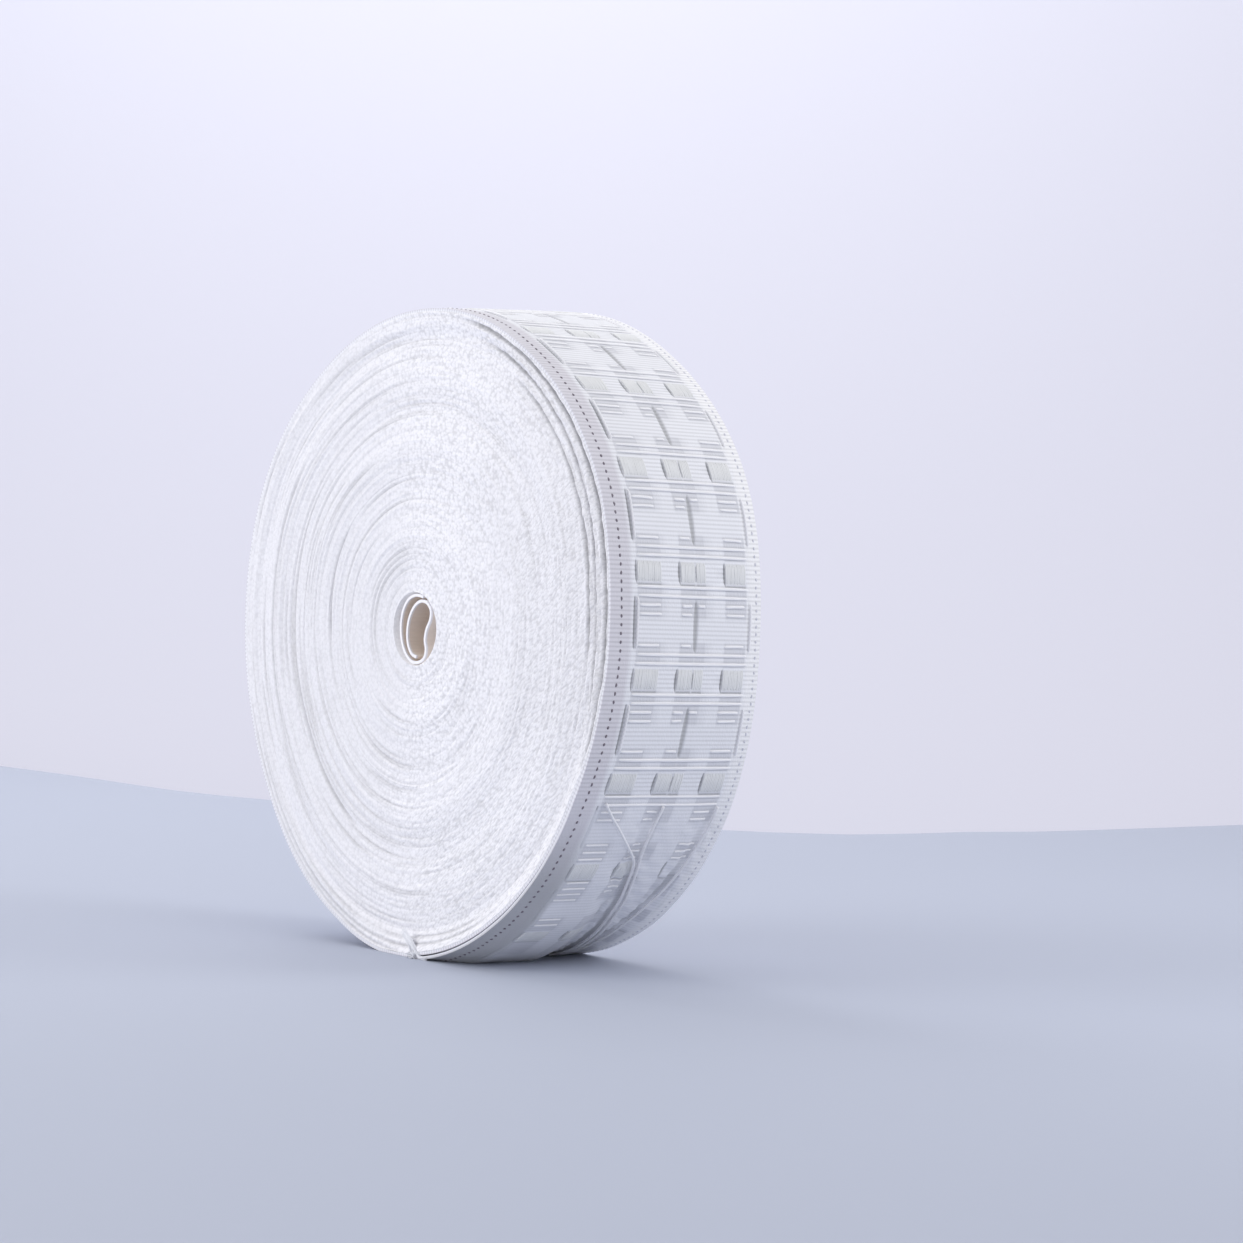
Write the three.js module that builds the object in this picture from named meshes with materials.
// A roll of woven curtain heading tape, standing on its edge.
// Millimetres, +Z up. The roll's axis lies along +Y and the origin is under its centre, on the flat spot
// that it rests on. "deg" is the angle round the roll, 0 at +X and 90 at the top, and "across" is the
// distance over the tape's width from its near edge, at -Y.
import * as THREE from "three";

// Tape
const TAPE_WIDTH = 75;
const TAPE_THICKNESS = 1.2;
const CORD_DIAMETER = 1.2;
const CLEARANCE = 0.3;

// Roll
const ROLL_RADIUS = 134;
const HOLE_RADIUS = 15.4;
const MM_PER_DEG = (Math.PI * ROLL_RADIUS) / 180;

// The winding is not quite round: the radius of its near and far edge every 30 degrees.
const RIM_STEP = 30;
const RIM = [
  { near: 132.0, far: 131.5 },
  { near: 135.5, far: 136.0 },
  { near: 134.0, far: 134.5 },
  { near: 131.5, far: 136.0 },
  { near: 132.5, far: 136.5 },
  { near: 136.5, far: 136.5 },
  { near: 134.5, far: 135.5 },
  { near: 132.5, far: 134.5 },
  { near: 134.0, far: 134.5 },
  { near: 134.8, far: 135.2 },
  { near: 134.0, far: 134.2 },
  { near: 133.8, far: 134.2 },
];

// The hole is a little oval.
const HOLE_OVAL = 0.4;
const HOLE_OVAL_DEG = 40;

// Rings of turns on each face: where they lie between hole (0) and rim (1), and how proud they stand,
// which changes round the roll and drifts from ring to ring.
const FACE_UNEVEN = 0.35;
const FACE_DRIFT_DEG = 900;
const FACE_RINGS = [
  { at: 0.985, proud: -0.7 },
  { at: 0.95, proud: 0.7 },
  { at: 0.915, proud: -0.8 },
  { at: 0.78, proud: 0.7 },
  { at: 0.66, proud: -0.5 },
  { at: 0.52, proud: 0.8 },
  { at: 0.37, proud: -0.4 },
  { at: 0.2, proud: 0.7 },
  { at: 0.07, proud: -0.4 },
];

// Woven repeat, 20 times round the roll. Distances along the tape start at the top edge of a row of blocks.
const REPEATS = 20;
const REPEAT_LENGTH = (2 * Math.PI * ROLL_RADIUS) / REPEATS;
const FIRST_BLOCK_DEG = 13.3;
const BLOCK_LENGTH = 9.4;
const BLOCK_HEIGHT = 0.5;
const BLOCKS = [
  { from: 13.3, to: 24.3 },
  { from: 34.4, to: 46.6 },
  { from: 56.8, to: 66.7 },
];
const FLOAT_HEIGHT = 0.9;
const FLOAT_FROM = 12;
const FLOAT_TO = 37;
const FLOATS = [10.7, 40.2, 66.7];
const STATIONS = [-0.6, 0.4, 9.0, 10.0, 15.0, 34.5];
const COLUMNS = [
  0, 9.8, 10.7, 11.6, 13.3, 24.3, 24.9, 33.8, 34.4, 39.3, 40.2, 41.1, 46.6, 47.2, 56.2, 56.8, 65.8, 66.7, 67.6, 75,
];
const LOOSE_STATIONS = [0.8, 9.0, 10.0, 17, 25, 33, 41.5];
const LOOSE_COLUMNS = [
  0, 4, 10.7, 13.3, 18, 24.3, 25.3, 33.4, 34.4, 39.3, 43.5, 46.6, 50, 53, 56.8, 59, 60.5, 62, 64, 66.7, 71, 75,
];

// Loose end of the outermost turn: it leaves the roll at a row of blocks and its cut end lies on the floor,
// next to the flat spot. The turn under it is inset by the tape's thickness. Each row of FOLDS gives the two
// creases that the draw cords pull in, and how far the cloth lifts on the near side, between and beyond them.
const LOOSE_REPEAT = 2;
const LOOSE_END_DEG = -84;
const INSET_END_DEG = -84.6;
const REST_FROM_DEG = -87.6;
const FOLDS = [
  { deg: -22, inner: 38, outer: 67.5, near: 0, middle: 0, far: 0 },
  { deg: -35, inner: 39, outer: 66.5, near: 0.3, middle: 0.7, far: 0.6 },
  { deg: -48, inner: 43, outer: 63.5, near: 2.0, middle: 1.3, far: 1.6 },
  { deg: -58, inner: 48, outer: 61, near: 3.8, middle: 1.0, far: 2.2 },
  { deg: -70, inner: 52, outer: 60.5, near: 4.6, middle: 0.3, far: 1.8 },
  { deg: -84, inner: 54, outer: 60, near: 4.6, middle: 0, far: 0.8 },
];
const NEAR_SLOPE = 13;
const NEAR_EDGE_SLOPE = 14;
const NEAR_EDGE_SHARE = 0.3;
const FAR_SLOPE = 8;

// Draw cords pulled out of the last pockets. Each point is [deg, across, height of the centre over the cloth].
const CORD_SIDES = 8;
const CORD_STEP = 2.5 * CORD_DIAMETER;
const CORDS = {
  draw_cord_near: [
    [-28.2, 11.4, 0.95], [-29.2, 13.2, 1.35], [-31, 17, 1.5], [-33, 21.8, 1.5], [-35, 26.4, 1.5],
    [-37, 31, 1.5], [-39, 35.4, 1.5], [-40.8, 38.4, 1.5], [-43, 40.2, 1.5], [-46, 42, 1.5],
    [-50, 44.6, 1.5], [-54, 46.6, 1.5], [-59, 49.2, 1.5], [-64, 51.6, 1.5], [-70, 54, 1.5],
    [-75, 55.2, 1.5], [-79, 55.8, 1.5],
  ],
  draw_cord_middle: [
    [-28.8, 40, 0.95], [-29.8, 39.6, 1.35], [-32, 38.9, 1.5], [-34.5, 38.8, 1.5], [-37, 39.2, 1.5],
    [-39, 39.9, 1.5], [-41, 41.2, 1.5], [-43.5, 42.8, 1.5], [-46.5, 44.6, 1.5], [-50, 46.8, 1.5],
    [-54, 48.8, 1.5], [-59, 51.4, 1.5], [-64, 53.7, 1.5], [-70, 56, 1.5], [-75, 57, 1.5],
    [-79, 57.5, 1.5],
  ],
  draw_cord_far: [
    [-29, 67.4, 0.95], [-30, 67.1, 1.35], [-32.5, 66.6, 1.5], [-35, 66.1, 1.5], [-38.5, 65.3, 1.5],
    [-42, 64.6, 1.5], [-46, 63.7, 1.5], [-50, 62.4, 1.5], [-54, 61.1, 1.5], [-59, 60.2, 1.5],
    [-64, 59.8, 1.5], [-70, 59.6, 1.5], [-75, 59.5, 1.5], [-79, 59.5, 1.5],
  ],
};

// Inner end: the loose innermost turns in the hole, as [x, height over the roll's centre].
const INNER_PATH = [
  [5.2, 13.2], [2.2, 13.8], [-1.5, 13.7], [-6.0, 11.7], [-9.4, 7.2], [-10.6, 1.5], [-9.8, -4.5], [-6.8, -9.9],
  [-2.0, -13.4], [3.2, -13.6], [7.2, -11.6], [8.2, -8.0], [7.2, -4.2], [8.2, 0], [10.6, 4.0], [10.8, 8.0],
  [7.6, 11.0], [3.0, 11.4], [-1.4, 9.0], [-4.6, 4.4], [-5.8, -1.0], [-5.0, -6.2], [-2.2, -10.2], [1.6, -11.6],
];
const INNER_STEPS = 78;
const INNER_INSET = 0.4;

const rad = THREE.MathUtils.degToRad;
const smooth = (x) => THREE.MathUtils.smoothstep(x, 0, 1);
const modulo = (x, n) => ((x % n) + n) % n;

// A curve through values a, b, c, d at -1, 0, 1, 2, read between b and c.
function through(a, b, c, d, t) {
  return b + 0.5 * t * (c - a + t * (2 * a - 5 * b + 4 * c - d + t * (3 * (b - c) + d - a)));
}

// Radius of the outermost turn's outer face.
function rimRadius(deg, across) {
  const place = modulo(deg, 360) / RIM_STEP;
  const row = Math.floor(place);
  const [a, b, c, d] = [-1, 0, 1, 2].map((k) => RIM[modulo(row + k, RIM.length)]);
  const near = through(a.near, b.near, c.near, d.near, place - row);
  const far = through(a.far, b.far, c.far, d.far, place - row);
  return THREE.MathUtils.lerp(near, far, across / TAPE_WIDTH);
}

const degAlong = (along) => FIRST_BLOCK_DEG - along / MM_PER_DEG;
const alongAt = (deg) => (FIRST_BLOCK_DEG - deg) * MM_PER_DEG;
const LOOSE_ALONG = LOOSE_REPEAT * REPEAT_LENGTH;
const LOOSE_LENGTH = alongAt(LOOSE_END_DEG) - LOOSE_ALONG;

// Height of the woven blocks and of the cords that lie between them.
function relief(along, across, withFloats) {
  const t = modulo(along, REPEAT_LENGTH);
  const inBlock = BLOCKS.some((b) => across >= b.from && across <= b.to);
  if (t > 0 && t < BLOCK_LENGTH && inBlock) return BLOCK_HEIGHT;
  const onFloat = FLOATS.includes(across) && t > FLOAT_FROM && t < FLOAT_TO;
  return withFloats && onFloat ? FLOAT_HEIGHT : 0;
}

// How far the loose end lifts off the roll.
function lift(deg, across) {
  const next = Math.max(1, FOLDS.findIndex((row) => row.deg <= deg));
  const [a, b] = [FOLDS[next - 1], FOLDS[next]];
  const share = smooth((a.deg - deg) / (a.deg - b.deg));
  const at = (key) => THREE.MathUtils.lerp(a[key], b[key], share);
  const [inner, outer] = [at("inner"), at("outer")];
  if (across <= inner) {
    const edge = NEAR_EDGE_SHARE + (1 - NEAR_EDGE_SHARE) * smooth(across / NEAR_EDGE_SLOPE);
    return at("near") * smooth((inner - across) / NEAR_SLOPE) * edge;
  }
  if (across < outer) return at("middle") * Math.sin((Math.PI * (across - inner)) / (outer - inner));
  return at("far") * smooth((across - outer) / FAR_SLOPE);
}

function roundPoint(deg, y, radius) {
  return new THREE.Vector3(radius * Math.cos(rad(deg)), y, ROLL_RADIUS + radius * Math.sin(rad(deg)));
}

// A point of the loose end, "height" over its outer face, kept at "lowest" or above.
function loosePoint(deg, across, height, lowest) {
  const radius = rimRadius(deg, across) + lift(deg, across) + height;
  const point = roundPoint(deg, across - TAPE_WIDTH / 2, radius);
  point.z = Math.max(point.z, lowest);
  return point;
}

// A mesh's geometry from rings of points: each ring is closed, and so is the row of rings.
function ringMesh(rings) {
  const [count, size] = [rings.length, rings[0].length];
  const positions = rings.flat().flatMap((p) => p.toArray());
  const index = [];
  for (let i = 0; i < count; i++) {
    for (let j = 0; j < size; j++) {
      const [i2, j2] = [(i + 1) % count, (j + 1) % size];
      const [a, b, c, d] = [i * size + j, i2 * size + j, i2 * size + j2, i * size + j2];
      index.push(a, b, c, a, c, d);
    }
  }
  return indexed(positions, index);
}

// A thin slab from two grids of points, rows along the tape and columns across it.
function slabMesh(outer, inner) {
  const [rows, columns] = [outer.length, outer[0].length];
  const positions = [...outer.flat(), ...inner.flat()].flatMap((p) => p.toArray());
  const back = rows * columns;
  const at = (i, j) => i * columns + j;
  const index = [];
  const quad = (a, b, c, d) => index.push(a, c, b, a, d, c);
  for (let i = 0; i + 1 < rows; i++) {
    for (let j = 0; j + 1 < columns; j++) {
      const [a, b, c, d] = [at(i, j), at(i, j + 1), at(i + 1, j + 1), at(i + 1, j)];
      quad(a, b, c, d);
      quad(back + d, back + c, back + b, back + a);
    }
    const last = columns - 1;
    quad(at(i + 1, 0), back + at(i + 1, 0), back + at(i, 0), at(i, 0));
    quad(at(i, last), back + at(i, last), back + at(i + 1, last), at(i + 1, last));
  }
  for (let j = 0; j + 1 < columns; j++) {
    const last = rows - 1;
    quad(at(0, j), back + at(0, j), back + at(0, j + 1), at(0, j + 1));
    quad(at(last, j + 1), back + at(last, j + 1), back + at(last, j), at(last, j));
  }
  return indexed(positions, index);
}

function indexed(positions, index) {
  const geometry = new THREE.BufferGeometry();
  geometry.setAttribute("position", new THREE.Float32BufferAttribute(positions, 3));
  geometry.setIndex(index);
  geometry.computeVertexNormals();
  return geometry;
}

// Wound roll: hole wall, near face, woven band and far face, as one ring of points for each station.
function woundRoll() {
  const half = TAPE_WIDTH / 2;
  const stations = [INSET_END_DEG, REST_FROM_DEG].map(alongAt);
  for (let repeat = 0; repeat < REPEATS; repeat++) {
    stations.push(...STATIONS.map((station) => repeat * REPEAT_LENGTH + station));
  }
  stations.sort((a, b) => a - b);
  const rings = stations.map((along) => {
    const deg = degAlong(along);
    const underEnd = along > LOOSE_ALONG && deg > REST_FROM_DEG;
    const inset = underEnd ? TAPE_THICKNESS + 2 * CLEARANCE : 0;
    const point = (y, radius) => {
      const p = roundPoint(deg, y, radius);
      p.z = Math.max(p.z, 0);
      return p;
    };
    const hole = HOLE_RADIUS + HOLE_OVAL * Math.cos(rad(2 * deg + HOLE_OVAL_DEG));
    const face = (side, across) =>
      FACE_RINGS.map((ring) => {
        const radius = THREE.MathUtils.lerp(hole, rimRadius(deg, across) - inset, ring.at);
        const uneven = 1 + FACE_UNEVEN * Math.cos(rad(2 * deg + ring.at * FACE_DRIFT_DEG));
        return point(side * (half + ring.proud * uneven), radius);
      });
    const band = COLUMNS.map((across) => {
      const height = underEnd ? 0 : relief(along, across, true);
      return point(across - half, rimRadius(deg, across) - inset + height);
    });
    const wall = [half, 0, -half].map((y) => point(y, hole));
    return [...wall, ...face(-1, 0).reverse(), ...band, ...face(1, TAPE_WIDTH)];
  });
  return ringMesh(rings);
}

// Loose end of the outermost turn, with its blocks and its two creases.
function tapeEnd() {
  const last = LOOSE_ALONG + LOOSE_LENGTH;
  const rows = [];
  for (let start = LOOSE_ALONG; start < last; start += REPEAT_LENGTH) {
    rows.push(...LOOSE_STATIONS.map((station) => start + station).filter((along) => along < last - 1));
  }
  rows.push(last);
  const surface = (height, lowest, raised) =>
    rows.map((along) =>
      LOOSE_COLUMNS.map((across) => {
        const raise = raised ? relief(along, across, false) : 0;
        return loosePoint(degAlong(along), across, height + raise, lowest);
      }),
    );
  return slabMesh(surface(0, 0, true), surface(-TAPE_THICKNESS, TAPE_THICKNESS, false));
}

// Loose innermost turns: a strip as wide as the tape, bent to a pinched loop in the hole.
function innerEnd() {
  const line = new THREE.CatmullRomCurve3(INNER_PATH.map(([x, z]) => new THREE.Vector3(x, 0, ROLL_RADIUS + z)));
  const half = TAPE_WIDTH / 2 - INNER_INSET;
  const side = (offset) =>
    Array.from({ length: INNER_STEPS + 1 }, (_, i) => {
      const point = line.getPointAt(i / INNER_STEPS);
      const tangent = line.getTangentAt(i / INNER_STEPS);
      const out = new THREE.Vector3(tangent.z, 0, -tangent.x).multiplyScalar(offset);
      return [-half, half].map((y) => point.clone().add(out).setY(y));
    });
  return slabMesh(side(-TAPE_THICKNESS / 2), side(TAPE_THICKNESS / 2));
}

// A draw cord lying on the loose end, in the crease.
function drawCord(route) {
  const points = route.map(([deg, across, height]) => loosePoint(deg, across, height, CORD_DIAMETER / 2));
  const line = new THREE.CatmullRomCurve3(points, false, "centripetal");
  const section = new THREE.Shape();
  for (let i = 0; i < CORD_SIDES; i++) {
    const turn = (2 * Math.PI * i) / CORD_SIDES;
    const [x, y] = [Math.cos(turn), Math.sin(turn)].map((s) => (s * CORD_DIAMETER) / 2);
    if (i === 0) section.moveTo(x, y);
    else section.lineTo(x, y);
  }
  section.closePath();
  const steps = Math.round(line.getLength() / CORD_STEP);
  return new THREE.ExtrudeGeometry(section, { steps, extrudePath: line, bevelEnabled: false });
}

const cloth = new THREE.MeshStandardMaterial({ color: 0xe8e8f2, roughness: 0.9, metalness: 0 });
const innerCloth = new THREE.MeshStandardMaterial({ color: 0xd9d6d6, roughness: 0.92, metalness: 0 });
const cordYarn = new THREE.MeshStandardMaterial({ color: 0xf2f1f0, roughness: 0.75, metalness: 0 });

const roll = new THREE.Group();
const add = (name, geometry, material) => {
  const mesh = new THREE.Mesh(geometry, material);
  mesh.name = name;
  roll.add(mesh);
};
add("wound_roll", woundRoll(), cloth);
add("tape_end", tapeEnd(), cloth);
add("inner_end", innerEnd(), innerCloth);
for (const [name, route] of Object.entries(CORDS)) add(name, drawCord(route), cordYarn);

export default roll;
